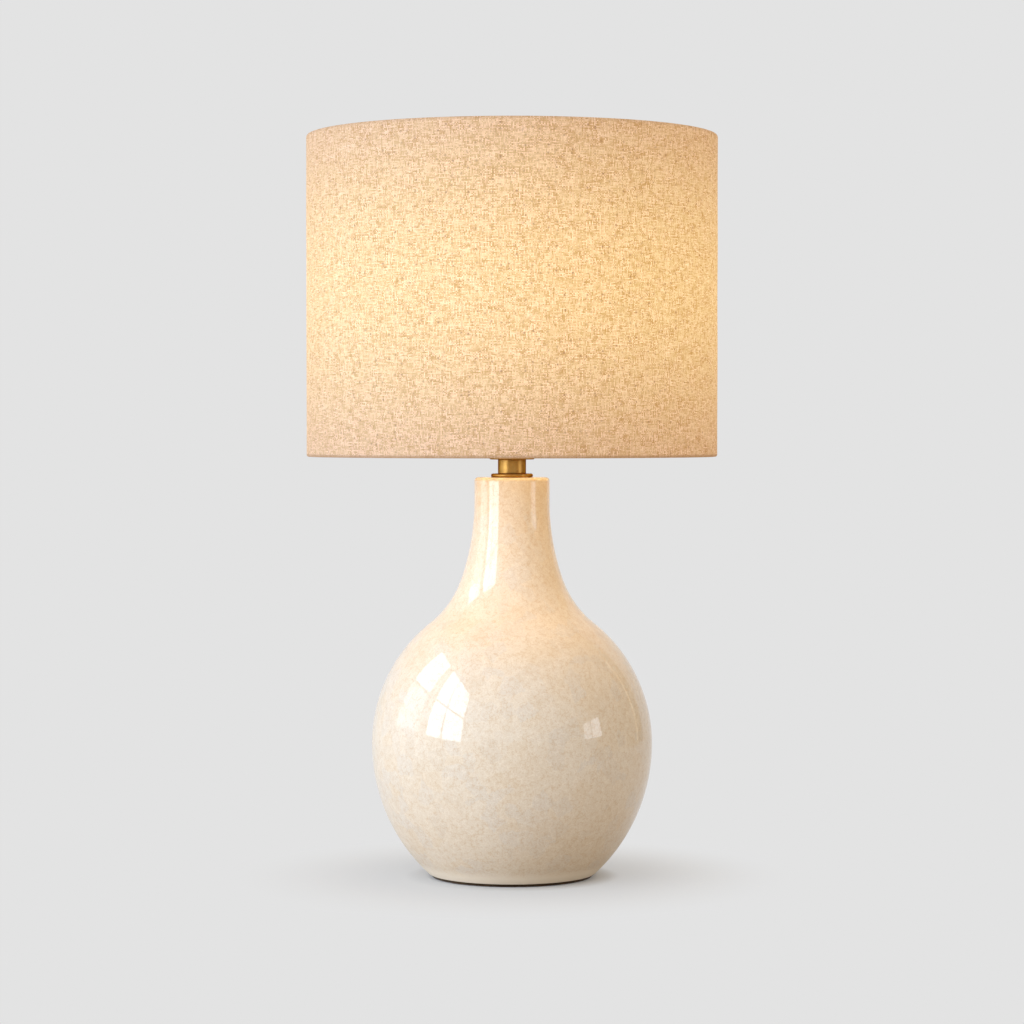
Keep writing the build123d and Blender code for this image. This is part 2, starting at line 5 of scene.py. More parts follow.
import bpy
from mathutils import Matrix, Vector


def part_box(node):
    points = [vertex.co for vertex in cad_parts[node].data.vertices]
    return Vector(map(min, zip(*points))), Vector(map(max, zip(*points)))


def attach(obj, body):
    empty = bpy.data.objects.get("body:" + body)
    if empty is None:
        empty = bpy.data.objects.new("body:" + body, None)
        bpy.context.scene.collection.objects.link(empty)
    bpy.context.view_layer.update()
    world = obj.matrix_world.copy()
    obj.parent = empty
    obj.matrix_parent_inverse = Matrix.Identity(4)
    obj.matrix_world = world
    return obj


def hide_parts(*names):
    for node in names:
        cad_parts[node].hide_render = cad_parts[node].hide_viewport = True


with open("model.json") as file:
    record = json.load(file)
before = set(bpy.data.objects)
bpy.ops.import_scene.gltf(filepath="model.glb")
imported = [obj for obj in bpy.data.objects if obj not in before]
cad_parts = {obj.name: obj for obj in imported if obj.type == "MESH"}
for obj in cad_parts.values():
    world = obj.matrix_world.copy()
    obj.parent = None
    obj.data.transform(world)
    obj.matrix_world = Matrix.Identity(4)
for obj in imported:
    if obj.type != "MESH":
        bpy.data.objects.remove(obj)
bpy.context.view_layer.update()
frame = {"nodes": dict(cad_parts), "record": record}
nodes = frame["nodes"]

# A table lamp: glazed bottle, brass neck, harp and linen drum shade.
# Lengths are in metres, in the frame of the solids.

# Places read from the solids
pad_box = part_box("foot_pad")
body_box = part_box("ceramic_body")
shade_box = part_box("shade_cover")
liner_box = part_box("shade_liner")
globe_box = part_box("bulb_globe")
pad_top = pad_box[1].z
pad_radius = pad_box[1].x
belly_radius = body_box[1].x
body_top = body_box[1].z
shade_radius = shade_box[1].x
shade_bottom = shade_box[0].z
shade_top = shade_box[1].z
liner_outside = liner_box[1].x
globe_radius = globe_box[1].x
globe_centre = globe_box[1].z - globe_radius

# Ceramic body
foot_radius = 0.067
foot_rounding = 0.0025
foot_ring_width = 0.029
belly_height = 0.1073
upper_belly_arc = 0.124
shoulder_arc = 0.078
neck_flare_arc = 0.188
neck_flare_reach = 0.0064
neck_radius = 0.0303
lip_rounding = 0.0032
ceramic_wall = 0.006
ceramic_top = 0.009
ceramic_floor = 0.008
stem_hole = 0.00515
inlet_height = 0.026
inlet_hole = 0.0051
inlet_spot = 0.0077
inlet_spot_depth = 0.0005

# Brass on the neck: how far each piece's outer edges are rounded
brass_rounding = {"seat_ring": 0.0013, "neck_tube": 0.0004, "check_ring": 0.0010}

# Bulb's cap of thin sheet, with a thread that lifts the bulb 22 mm in six turns
cap_tip = 0.0014
cap_sheet = 0.0005
cap_hole = 0.004
thread_depth = 0.0009
thread_pitch = 0.022 / 6
thread_fade = 0.0012

# Linen
linen = 0.0008
hem_radius = 0.003
hem_turn = 0.010
corner_press = 4.0
liner = 0.0005
layer_gap = 0.0001
seam_lap = 0.014
seam_rise = 0.0005
seam_step = 0.0003
slack_depth = 0.00003
warp_pitch = 0.00112
weft_pitch = 0.00105

# Felt: its rounded rim and how deep the fluff on it goes
felt_rim = 0.0008
felt_fluff = 0.0004

# How finely meshes are cut: steps round a full turn, rows up a wall, and the angle in degrees
# above which an edge stays sharp
body_turn = 240
hole_turn = 48
ring_turn = 192
cap_turn = 128
cap_rows = 60
shade_turn = 288
shade_rows = 48
pad_turn = 180
pad_rings = 6
crease = 35


# Meshes
def arc(centre, radius, start, end, steps):
    """Points on a circle, from one angle to another in degrees, both ends included."""
    turns = [radians(start + (end - start) * k / steps) for k in range(steps + 1)]
    return [(centre[0] + radius * cos(a), centre[1] + radius * sin(a)) for a in turns]


def even_angles(count):
    return [2 * pi * k / count for k in range(count)]


def spun(name, outline, angles, swell=None, threads=False):
    """A closed outline of (radius, height) points turned about the lamp's axis.

    swell gives how much the radius grows at an angle and a point of the outline. With threads, the
    mesh gets a flat layout in metres: round the turn, and along the outline.
    """
    points = []
    for angle in angles:
        for k, (radius, height) in enumerate(outline):
            grown = radius + (swell(angle, k) if swell else 0)
            points.append((grown * cos(angle), grown * sin(angle), height))
    count = len(outline)
    faces = []
    for t in range(len(angles)):
        here, there = t * count, (t + 1) % len(angles) * count
        for k in range(count):
            m = (k + 1) % count
            faces.append((here + k, there + k, there + m, here + m))
    mesh = bpy.data.meshes.new(name)
    mesh.from_pydata(points, [], faces)
    if threads:
        lay_flat(mesh, outline, angles)
    return placed(name, mesh)


def lay_flat(mesh, outline, angles):
    """Lays the faces of a turned mesh out flat, in metres."""
    along = [0.0]
    for (r0, z0), (r1, z1) in zip(outline, outline[1:] + outline[:1]):
        along.append(along[-1] + hypot(r1 - r0, z1 - z0))
    widest = max(radius for radius, _ in outline)
    around = [angle * widest for angle in angles] + [(angles[0] + 2 * pi) * widest]
    flat = []
    for t in range(len(angles)):
        for k in range(len(outline)):
            for u, v in ((t, k), (t + 1, k), (t + 1, k + 1), (t, k + 1)):
                flat += [around[u], along[v]]
    mesh.uv_layers.new(name="threads").data.foreach_set("uv", flat)


def linked(name, data):
    """An object in the scene with that mesh, light or camera."""
    made = bpy.data.objects.new(name, data)
    bpy.context.scene.collection.objects.link(made)
    return made


def smoothed(mesh):
    """Shades a mesh smooth but for edges sharper than the crease angle."""
    mesh.shade_smooth()
    mesh.set_sharp_from_angle(angle=radians(crease))


def placed(name, mesh):
    """An object with that mesh, shaded smooth."""
    mesh.validate()
    smoothed(mesh)
    return linked(name, mesh)


def drilled(piece, cutters):
    """Cuts the cutters out of a piece and removes them."""
    for cutter in cutters:
        cut = piece.modifiers.new("cut", "BOOLEAN")
        cut.object = cutter
        cut.operation = "DIFFERENCE"
        cut.solver = "EXACT"
    shown = piece.evaluated_get(bpy.context.evaluated_depsgraph_get())
    mesh = bpy.data.meshes.new_from_object(shown)
    piece.modifiers.clear()
    piece.data = mesh
    mesh.name = piece.name
    smoothed(mesh)
    for cutter in cutters:
        bpy.data.objects.remove(cutter)
    return piece


def bottle_outline():
    """The section of the ceramic: outside from the foot to the lip, then inside back to the foot.

    Also gives the centre and the radius of the arc between foot and belly.
    """
    foot_rise = belly_height - pad_top
    overhang = belly_radius - foot_radius
    lower_arc = (overhang**2 + foot_rise**2) / (2 * overhang)
    lower = (belly_radius - lower_arc, belly_height)
    upper = (belly_radius - upper_belly_arc, belly_height)
    shoulder_x = neck_radius + neck_flare_reach + shoulder_arc
    run = shoulder_x - upper[0]
    rise = sqrt((upper_belly_arc + shoulder_arc) ** 2 - run**2)
    shoulder = (shoulder_x, belly_height + rise)
    shoulder_angle = degrees(atan2(rise, run))
    flare_rise = sqrt(2 * neck_flare_reach * (neck_flare_arc - shoulder_arc - neck_flare_reach / 2))
    flare = (neck_radius + neck_flare_arc, shoulder[1] + flare_rise)
    flare_angle = degrees(asin(flare_rise / (neck_flare_arc - shoulder_arc)))

    def side(inset, start, fine):
        """The wall from an angle on the lower arc up to the neck, moved inwards."""
        turn_in, turn_out = 180 + shoulder_angle, 180 + flare_angle
        wall = arc(lower, lower_arc - inset, start, 0, 30 * fine)
        wall += arc(upper, upper_belly_arc - inset, 0, shoulder_angle, 22 * fine)[1:]
        wall += arc(shoulder, shoulder_arc + inset, turn_in, turn_out, 10 * fine)[1:]
        return wall + arc(flare, neck_flare_arc + inset, turn_out, 180, 10 * fine)[1:]

    edge_height = pad_top + foot_rounding
    edge_reach = sqrt((lower_arc - foot_rounding) ** 2 - (belly_height - edge_height) ** 2)
    edge = (lower[0] + edge_reach, edge_height)
    edge_angle = -degrees(asin((belly_height - edge_height) / (lower_arc - foot_rounding)))
    floor_top = pad_top + ceramic_floor
    floor_angle = -degrees(asin((belly_height - floor_top) / (lower_arc - ceramic_wall)))
    ceiling = body_top - ceramic_top
    opening = foot_radius - foot_ring_width
    lip = (neck_radius - lip_rounding, body_top - lip_rounding)
    return (
        arc(edge, foot_rounding, -90, edge_angle, 8)[:-1]
        + side(0, edge_angle, 3)
        + arc(lip, lip_rounding, 0, 90, 8)
        + [(stem_hole, body_top), (stem_hole, ceiling), (neck_radius - ceramic_wall, ceiling)]
        + side(ceramic_wall, floor_angle, 1)[::-1]
        + [(opening, floor_top), (opening, pad_top)]
    ), lower, lower_arc


def glazed_body():
    """The bottle, with the hole for the cord bush drilled square to its back wall."""
    outline, lower, lower_arc = bottle_outline()
    body = spun("glazed_body", outline, even_angles(body_turn))
    slope = asin((belly_height - inlet_height) / lower_arc)
    outwards = Vector((0, cos(slope), -sin(slope)))
    mouth = Vector((0, lower[0] + lower_arc * cos(slope), inlet_height))
    turn = outwards.to_track_quat("Z", "Y").to_matrix().to_4x4()
    cutters = []
    bores = ((inlet_hole, -2 * ceramic_wall, 0), (inlet_spot, -inlet_spot_depth, ceramic_wall))
    for radius, low, high in bores:
        drum = [(0.0, low), (radius, low), (radius, high), (0.0, high)]
        cutter = spun("cutter", drum, even_angles(hole_turn))
        cutter.data.transform(turn)
        cutter.data.transform(turn.Translation(mouth))
        cutters.append(cutter)
    return drilled(body, cutters)


def brass_ring(node):
    """A turned ring of brass with rounded edges and the hole for the threaded stem."""
    low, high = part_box(node)
    radius, rounding = high.x, brass_rounding[node]
    outline = [(stem_hole, low.z)]
    outline += arc((radius - rounding, low.z + rounding), rounding, -90, 0, 6)
    outline += arc((radius - rounding, high.z - rounding), rounding, 0, 90, 6)
    outline += [(stem_hole, high.z)]
    return spun("turned_" + node, outline, even_angles(ring_turn))


def threaded_cap():
    """The bulb's cap, its sheet rolled to a round thread that fades out at both ends."""
    low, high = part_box("bulb_screw_cap")
    start, end = low.z + cap_tip, high.z
    heights = [start + (end - start) * k / cap_rows for k in range(cap_rows + 1)]
    outline = [(cap_hole, low.z), (high.x - cap_tip, low.z)]
    outline += [(high.x, height) for height in heights]
    outline += [(high.x - cap_sheet, height) for height in reversed(heights)]
    outline += [(cap_hole, start)]

    def rolled(angle, k):
        """How far the sheet is pressed in at one place of the thread."""
        height = outline[k][1]
        fade = max(0, min(1, (height - start) / thread_fade, (end - height) / thread_fade))
        turns = height / thread_pitch - angle / (2 * pi)
        return -thread_depth * fade * (0.5 - 0.5 * cos(2 * pi * turns))

    return spun("threaded_cap", outline, even_angles(cap_turn), rolled)


def hem_points(edge, up, inner):
    """One rolled edge of the linen, outer or inner face, from the wall to the end of the flap."""
    centre = (shade_radius - hem_radius, edge - up * hem_radius)
    bend = hem_radius - linen
    to_liner = liner_outside - liner - layer_gap - centre[0]
    lean = atan2(bend, hem_turn) + asin(to_liner / hypot(hem_turn, bend))
    roll = arc(centre, bend if inner else hem_radius, 0, up * (180 + degrees(lean)), 20)
    if not inner:
        roll = [squared(centre, point) for point in roll]
    end = roll[-1]
    return roll + [(end[0] + hem_turn * sin(lean), end[1] - up * hem_turn * cos(lean))]


def squared(centre, point):
    """Pushes a point of the roll out to the tighter corner that pressed cloth takes."""
    x, y = (point[0] - centre[0]) / hem_radius, (point[1] - centre[1]) / hem_radius
    if x <= 0:
        return point
    grow = (abs(x) ** corner_press + abs(y) ** corner_press) ** (-1 / corner_press)
    return (centre[0] + x * grow * hem_radius, centre[1] + y * grow * hem_radius)


def linen_shade():
    """The drum of linen with both edges rolled round their wires, lapped at the back."""
    outside_top = hem_points(shade_top, 1, False)
    inside_top = hem_points(shade_top, 1, True)
    outside_bottom = hem_points(shade_bottom, -1, False)
    inside_bottom = hem_points(shade_bottom, -1, True)
    low, high = outside_bottom[0], outside_top[0]
    rows = [low[1] + (high[1] - low[1]) * k / shade_rows for k in range(1, shade_rows)]
    wall = [(shade_radius, height) for height in rows]
    outline = outside_bottom[::-1] + wall + outside_top + inside_top[::-1] + inside_bottom
    outer_count = len(outside_bottom) + len(wall) + len(outside_top)
    lap = seam_lap / shade_radius
    step = seam_step / shade_radius
    back = pi / 2
    clear = 0.01
    angles = [a for a in even_angles(shade_turn) if not back - clear < a < back + clear]
    angles = sorted(angles + [back - step / 2, back + step / 2, back - clear, back + clear])
    slack = random.Random(7)
    drift = [
        (slack.uniform(0, 2 * pi), slack.randint(3, 9), slack.uniform(40, 90)) for _ in range(4)
    ]

    def swell(angle, k):
        """The lapped seam stands out at the back, and the cloth is never quite true."""
        if k >= outer_count:
            return 0.0
        past = back - angle
        seam = seam_rise * max(0.0, 1 - past / lap) if 0 <= past <= lap else 0.0
        height = outline[k][1]
        wave = sum(sin(shift + turns * angle + rate * height) for shift, turns, rate in drift)
        return seam + slack_depth * wave

    return spun("linen_shade", outline, angles, swell, threads=True)


def felt_pad():
    """A felt disc with a soft, slightly furry rim."""
    edge = pad_radius - felt_rim
    rings = [pad_radius * k / pad_rings for k in range(1, pad_rings)]
    outline = [(0.0, 0.0)] + [(radius, 0.0) for radius in rings]
    outline += arc((edge, felt_rim), felt_rim, -90, 0, 4)
    outline += arc((edge, pad_top - felt_rim), felt_rim, 0, 90, 4)
    outline += [(radius, pad_top) for radius in rings[::-1]] + [(0.0, pad_top)]
    fluff = random.Random(3)

    def swell(angle, k):
        """The rim is ragged, the two faces are flat."""
        if outline[k][0] < pad_radius - 2 * felt_rim:
            return 0.0
        return fluff.uniform(-felt_fluff, 0.0)

    return spun("felt_pad", outline, even_angles(pad_turn), swell)


# Nodes
def wire(tree, value, socket):
    """Feeds a socket with another socket or sets its plain value."""
    if isinstance(value, bpy.types.NodeSocket):
        tree.links.new(value, socket)
    else:
        socket.default_value = value


def put(tree, kind, inputs, output=0, **settings):
    """A new node with these settings and inputs. Gives the named output."""
    made = tree.nodes.new("ShaderNode" + kind)
    for name, value in settings.items():
        setattr(made, name, value)
    for name, value in inputs.items():
        wire(tree, value, made.inputs[name])
    return made.outputs[output]


def place(tree):
    return put(tree, "TexCoord", {}, "Object")


def scaled(tree, vector, *scale):
    return put(tree, "Mapping", {"Vector": vector, "Scale": scale})


def noise(tree, vector, scale, detail=2.0, output="Fac"):
    return put(tree, "TexNoise", {"Vector": vector, "Scale": scale, "Detail": detail}, output)


def cells(tree, vector, scale, output, feature="F1"):
    return put(tree, "TexVoronoi", {"Vector": vector, "Scale": scale}, output, feature=feature)


def maths(tree, how, first, second=0.0):
    return put(tree, "Math", {0: first, 1: second}, operation=how)


def span(tree, value, low, high, to_low=0.0, to_high=1.0, how="SMOOTHSTEP"):
    """Spreads the values between low and high over a new range."""
    limits = {"From Min": low, "From Max": high, "To Min": to_low, "To Max": to_high}
    return put(tree, "MapRange", {"Value": value, **limits}, interpolation_type=how)


def tint(tree, share, under, over, how="MIX"):
    """One colour laid over another."""
    return put(tree, "Mix", {0: share, 6: under, 7: over}, 2, data_type="RGBA", blend_type=how)


def relief(tree, height, depth, strength=1.0):
    return put(tree, "Bump", {"Height": height, "Distance": depth, "Strength": strength})


def rgb(red, green, blue):
    return (red, green, blue, 1.0)


def warped(tree, vector, scale, amount):
    """Places pushed about by a noise, so that lines drawn on them wander."""
    push = noise(tree, vector, scale, 2.0, "Color")
    push = put(tree, "VectorMath", {0: push, 1: (0.5, 0.5, 0.5)}, operation="SUBTRACT")
    push = put(tree, "VectorMath", {0: push, "Scale": amount}, operation="SCALE")
    return put(tree, "VectorMath", {0: vector, 1: push}, operation="ADD")


# Effects that several finishes share
def shared(name, inputs, outputs):
    """An empty node group with named sockets."""
    tree = bpy.data.node_groups.new(name, "ShaderNodeTree")
    for label, value in inputs.items():
        kind = "NodeSocketColor" if isinstance(value, tuple) else "NodeSocketFloat"
        socket = tree.interface.new_socket(label, in_out="INPUT", socket_type=kind)
        socket.default_value = value
    for label, kind in outputs.items():
        tree.interface.new_socket(label, in_out="OUTPUT", socket_type="NodeSocket" + kind)
    return tree, tree.nodes.new("NodeGroupInput").outputs, tree.nodes.new("NodeGroupOutput").inputs


def use(tree, group, **inputs):
    """Places a shared effect in a finish with its own values."""
    made = tree.nodes.new("ShaderNodeGroup")
    made.node_tree = group
    for name, value in inputs.items():
        wire(tree, value, made.inputs[name])
    return made.outputs


def make_uneven_tone():
    """A colour that drifts softly towards a second one, with a finer mottle in it."""
    given = {"Tone": rgb(1, 1, 1), "Darker": rgb(0, 0, 0), "Scale": 30.0, "Amount": 0.5}
    tree, inputs, outputs = shared("uneven_tone", given, {"Color": "Color"})
    spot = place(tree)
    broad = maths(tree, "MULTIPLY", noise(tree, spot, inputs["Scale"], 3.0), 0.65)
    fine = noise(tree, spot, maths(tree, "MULTIPLY", inputs["Scale"], 11.0), 4.0)
    both = maths(tree, "ADD", broad, maths(tree, "MULTIPLY", fine, 0.35))
    share = maths(tree, "MULTIPLY", span(tree, both, 0.34, 0.66), inputs["Amount"])
    wire(tree, tint(tree, share, inputs["Tone"], inputs["Darker"]), outputs["Color"])
    return tree


def make_turned_marks():
    """Fine rings left by turning and brushing round the lamp's axis."""
    tree, inputs, outputs = shared("turned_marks", {"Rings": 6000.0}, {"Height": "Float"})
    axes = put(tree, "SeparateXYZ", {0: place(tree)}).node.outputs
    squares = [maths(tree, "POWER", axes[k], 2.0) for k in (0, 1)]
    reach = maths(tree, "SQRT", maths(tree, "ADD", *squares))
    ring = maths(tree, "MULTIPLY", maths(tree, "ADD", reach, axes[2]), inputs["Rings"])
    drift = maths(tree, "MULTIPLY", maths(tree, "ARCTAN2", axes[1], axes[0]), 1.5)
    line = put(tree, "CombineXYZ", {0: ring, 1: drift})
    wire(tree, noise(tree, line, 1.0, 3.0), outputs["Height"])
    return tree


def make_handling():
    """Roughness with smudges and faint scratches in it."""
    given = {"Roughness": 0.3, "Spread": 0.1}
    tree, inputs, outputs = shared("handling", given, {"Roughness": "Float"})
    spot = place(tree)
    smudge = maths(tree, "MULTIPLY", noise(tree, spot, 70.0, 4.0), 1.3)
    scratch = noise(tree, scaled(tree, spot, 300.0, 300.0, 3000.0), 1.0, 2.0)
    mark = maths(tree, "ADD", smudge, maths(tree, "MULTIPLY", scratch, 0.7))
    change = maths(tree, "MULTIPLY", maths(tree, "SUBTRACT", mark, 1.0), inputs["Spread"])
    wire(tree, maths(tree, "ADD", inputs["Roughness"], change), outputs["Roughness"])
    return tree


uneven_tone = make_uneven_tone()
turned_marks = make_turned_marks()
handling = make_handling()


# Finishes
def finish(name):
    """A new material, with its tree and the inputs of its surface shader."""
    made = bpy.data.materials.new(name)
    made.use_nodes = True
    return made, made.node_tree, made.node_tree.nodes["Principled BSDF"].inputs


def glaze():
    """Cream glaze, clear and glossy, over a fine network of flakes and hair lines."""
    made, tree, surface = finish("cream_glaze")
    spot = place(tree)
    cream, oatmeal, ash = rgb(0.78, 0.70, 0.59), rgb(0.73, 0.61, 0.46), rgb(0.70, 0.65, 0.59)
    base = use(tree, uneven_tone, Tone=cream, Darker=oatmeal, Scale=16.0, Amount=0.4)["Color"]
    flake = cells(tree, warped(tree, spot, 110.0, 0.007), 75.0, "Color")
    chance = put(tree, "SeparateColor", {0: flake}).node.outputs
    base = tint(tree, span(tree, chance[0], 0.4, 1.0, 0.0, 0.5), base, ash)
    base = tint(tree, span(tree, chance[1], 0.5, 1.0, 0.0, 0.4), base, oatmeal)
    broken = span(tree, noise(tree, spot, 210.0, 2.0), 0.40, 0.60)

    def hair_lines(vector, density):
        """Thin wandering lines between cells of the glaze."""
        wandering = warped(tree, vector, 2 * density, 0.95 / density)
        edge = cells(tree, wandering, density, "Distance", "DISTANCE_TO_EDGE")
        return span(tree, edge, 0.02, 0.09, 1.0, 0.0)

    dark = maths(tree, "MULTIPLY", hair_lines(spot, 260.0), broken)
    base = tint(tree, maths(tree, "MULTIPLY", dark, 0.36), base, rgb(0.58, 0.38, 0.18))
    elsewhere = scaled(tree, spot, -1.0, 1.1, 1.0)
    whole = maths(tree, "SUBTRACT", 1.0, broken)
    pale = maths(tree, "MULTIPLY", hair_lines(elsewhere, 290.0), whole)
    base = tint(tree, maths(tree, "MULTIPLY", pale, 0.34), base, rgb(0.94, 0.87, 0.76))
    grain = noise(tree, spot, 1000.0, 2.0)
    base = tint(tree, span(tree, grain, 0.52, 0.75, 0.0, 0.45), base, rgb(0.60, 0.42, 0.25))
    height = put(tree, "SeparateXYZ", {0: spot}).node.outputs[2]
    # Painted highlight: a paler band just above the foot, where its rounded rim catches the light.
    painted_foot_highlight = span(tree, height, pad_top + 0.004, pad_top + 0.012, 0.9, 0.0)
    base = tint(tree, painted_foot_highlight, base, rgb(0.95, 0.88, 0.77))
    wire(tree, base, surface["Base Color"])
    wire(tree, use(tree, handling, Roughness=0.42, Spread=0.08)["Roughness"], surface["Roughness"])
    ripple = noise(tree, spot, 45.0, 2.0)
    wire(tree, relief(tree, ripple, 0.0004, 0.05), surface["Normal"])
    surface["Specular IOR Level"].default_value = 0.12
    wire(tree, span(tree, height, pad_top + 0.006, 0.070, 0.10, 0.75), surface["Coat Weight"])
    surface["Coat Roughness"].default_value = 0.02
    return made


def linen_cloth():
    """Oatmeal linen in plain weave, with slubs, open holes and dips painted dark as shade, and the
    bulb's glow through it painted on as emission.
    """
    made, tree, surface = finish("oatmeal_linen")
    flat = warped(tree, put(tree, "UVMap", {}, uv_map="threads"), 110.0, 0.0022)
    lengths = put(tree, "SeparateXYZ", {0: flat}).node.outputs
    warp = maths(tree, "DIVIDE", lengths[0], warp_pitch)
    weft = maths(tree, "DIVIDE", lengths[1], weft_pitch)
    warp_index, weft_index = maths(tree, "FLOOR", warp), maths(tree, "FLOOR", weft)

    def rounding(place_along):
        """The round top of a thread: 0 at its sides, 1 on its middle."""
        return maths(tree, "SINE", maths(tree, "MULTIPLY", maths(tree, "FRACT", place_along), pi))

    def thread_tone(index, run, rate):
        """How pale a thread is, which changes along it."""
        along, across = maths(tree, "MULTIPLY", run, rate), maths(tree, "MULTIPLY", index, 7.3)
        return noise(tree, put(tree, "CombineXYZ", {0: along, 1: across}), 1.0, 2.5)

    warp_round, weft_round = rounding(warp), rounding(weft)
    crossing = maths(tree, "ABSOLUTE", maths(tree, "ADD", warp_index, weft_index))
    over = maths(tree, "MODULO", crossing, 2.0)
    warp_lift = maths(tree, "MULTIPLY", warp_round, span(tree, over, 0.0, 1.0, 0.5, 1.0, "LINEAR"))
    weft_lift = maths(tree, "MULTIPLY", weft_round, span(tree, over, 0.0, 1.0, 1.0, 0.5, "LINEAR"))
    height = maths(tree, "MAXIMUM", warp_lift, weft_lift)
    on_top = maths(tree, "GREATER_THAN", warp_lift, weft_lift)
    weft_tone = thread_tone(weft_index, lengths[0], 150.0)
    warp_tone = thread_tone(warp_index, lengths[1], 165.0)
    tone = put(tree, "Mix", {0: on_top, 2: weft_tone, 3: warp_tone})
    tone = span(tree, tone, 0.36, 0.64)
    weave = tint(tree, tone, rgb(0.67, 0.47, 0.11), rgb(1.43, 1.42, 1.58))
    # Painted shade: the dips between threads are darker and warmer.
    valley_shade = maths(tree, "MULTIPLY", span(tree, height, 0.2, 0.8, 1.0, 0.0), 0.8)
    weave = tint(tree, valley_shade, weave, rgb(0.86, 0.59, 0.36))
    # Painted shade: open holes at some thread crossings, painted dark brown.
    corner = put(tree, "CombineXYZ", {0: maths(tree, "ROUND", warp), 1: maths(tree, "ROUND", weft)})
    chance = put(tree, "TexWhiteNoise", {"Vector": corner}, "Value", noise_dimensions="2D")
    open_share = span(tree, maths(tree, "MAXIMUM", warp_round, weft_round), 0.4, 0.95, 1.0, 0.0)
    hole_shade = maths(tree, "MULTIPLY", open_share, span(tree, chance, 0.78, 0.98))
    weave = tint(tree, maths(tree, "MULTIPLY", hole_shade, 0.9), weave, rgb(0.42, 0.18, 0.05))
    speck = {"Vector": flat, "Scale": 165.0}
    near = put(tree, "TexVoronoi", speck, "Distance", voronoi_dimensions="2D")
    kind = put(tree, "TexVoronoi", speck, "Color", voronoi_dimensions="2D")
    strong = span(tree, put(tree, "SeparateColor", {0: kind}), 0.3, 1.0, 0.0, 0.85)
    dark = maths(tree, "MULTIPLY", span(tree, near, 0.06, 0.19, 1.0, 0.0), strong)
    weave = tint(tree, dark, weave, rgb(0.44, 0.23, 0.09))
    cloud = noise(tree, scaled(tree, flat, 85.0, 110.0, 1.0), 1.0, 2.0)
    weave = tint(tree, span(tree, cloud, 0.35, 0.65, 0.0, 0.4), weave, rgb(1.06, 0.99, 0.80))
    folds = ((shade_top, -1.0, 0.35), (shade_bottom, 1.0, 0.85))
    lines = [
        span(tree, edge_gap(tree, edge, up), 0.0012, 0.0030, share, 0.0)
        for edge, up, share in folds
    ]
    stitched = span(tree, warp_round, 0.2, 0.9, 1.0, 0.6)
    hem_line = maths(tree, "MULTIPLY", maths(tree, "MAXIMUM", *lines), stitched)
    weave = tint(tree, hem_line, weave, rgb(0.46, 0.30, 0.17))
    unlit = tint(tree, 0.5, weave, rgb(0.98, 0.88, 0.75))
    flat_place = put(tree, "VectorMath", {0: place(tree), 1: (1.0, 1.0, 0.0)}, operation="MULTIPLY")
    reach = put(tree, "VectorMath", {0: flat_place}, 1, operation="LENGTH")
    single = span(tree, reach, shade_radius - 0.002, shade_radius - 0.0008)
    cloth = tint(tree, single, rgb(0.42, 0.35, 0.27), rgb(0.31, 0.33, 0.33))
    wire(tree, tint(tree, 1.0, unlit, cloth, "MULTIPLY"), surface["Base Color"])
    surface["Roughness"].default_value = 0.85
    surface["Specular IOR Level"].default_value = 0.2
    wire(tree, relief(tree, height, 0.0004, 0.5), surface["Normal"])
    # Painted glow: the bulb's light through the cloth is painted on as emission. It is brightest
    # nearest a point just in front of and above the globe, and it fades with distance from that
    # point.
    lean, rise, falloff = 0.005, 0.024, 2.53
    bulb = (0.0, -lean, globe_centre + rise)
    from_bulb = put(tree, "VectorMath", {0: place(tree), 1: bulb}, 1, operation="DISTANCE")
    glow = maths(tree, "POWER", maths(tree, "DIVIDE", shade_radius - lean, from_bulb), falloff)
    light = tint(tree, glow, rgb(0.170, 0.0, 0.013), rgb(0.728, 0.500, 0.205))
    # The painted glow is kept to the cloth's outer face.
    light = tint(tree, single, rgb(0.02, 0.01, 0.003), light)
    # Painted shade: the glow is dimmer where the seam laps the cloth double.
    seam = pi / 2 * shade_radius
    past_start = span(tree, lengths[0], seam - seam_lap, seam - seam_lap + 0.0006)
    before_end = span(tree, lengths[0], seam - 0.0004, seam + 0.0002, 1.0, 0.0)
    lapped = maths(tree, "MULTIPLY", past_start, before_end)
    light = tint(tree, maths(tree, "MULTIPLY", lapped, 0.30), light, rgb(0.16, 0.09, 0.03))
    # The weave's marks darken the painted glow too.
    wire(tree, tint(tree, 1.0, weave, light, "MULTIPLY"), surface["Emission Color"])
    surface["Emission Strength"].default_value = 1.0
    made.cycles.emission_sampling = "NONE"
    return made


def edge_gap(tree, edge, up):
    """How far a place lies inside one edge of the shade."""
    height = put(tree, "SeparateXYZ", {0: place(tree)}).node.outputs[2]
    return maths(tree, "MULTIPLY", maths(tree, "SUBTRACT", height, edge), up)


def felt():
    """Dark brown pressed felt."""
    made, tree, surface = finish("brown_felt")
    brown, darker = rgb(0.060, 0.032, 0.014), rgb(0.024, 0.013, 0.007)
    base = use(tree, uneven_tone, Tone=brown, Darker=darker, Scale=160.0, Amount=0.8)["Color"]
    wire(tree, base, surface["Base Color"])
    surface["Roughness"].default_value = 0.95
    surface["Specular IOR Level"].default_value = 0.1
    surface["Sheen Weight"].default_value = 0.3
    fur = noise(tree, warped(tree, place(tree), 400.0, 0.002), 1500.0, 3.0)
    wire(tree, relief(tree, fur, 0.0005, 0.8), surface["Normal"])
    return made


def metal(name, tone, darker, roughness, spread, marks):
    """Turned or drawn metal, with rings of the given depth and handled patches."""
    made, tree, surface = finish(name)
    base = use(tree, uneven_tone, Tone=tone, Darker=darker, Scale=45.0, Amount=0.55)["Color"]
    wire(tree, base, surface["Base Color"])
    handled = use(tree, handling, Roughness=roughness, Spread=spread)["Roughness"]
    wire(tree, handled, surface["Roughness"])
    wire(tree, relief(tree, use(tree, turned_marks)["Height"], marks, 0.5), surface["Normal"])
    surface["Metallic"].default_value = 1.0
    surface["Specular Tint"].default_value = darker
    return made


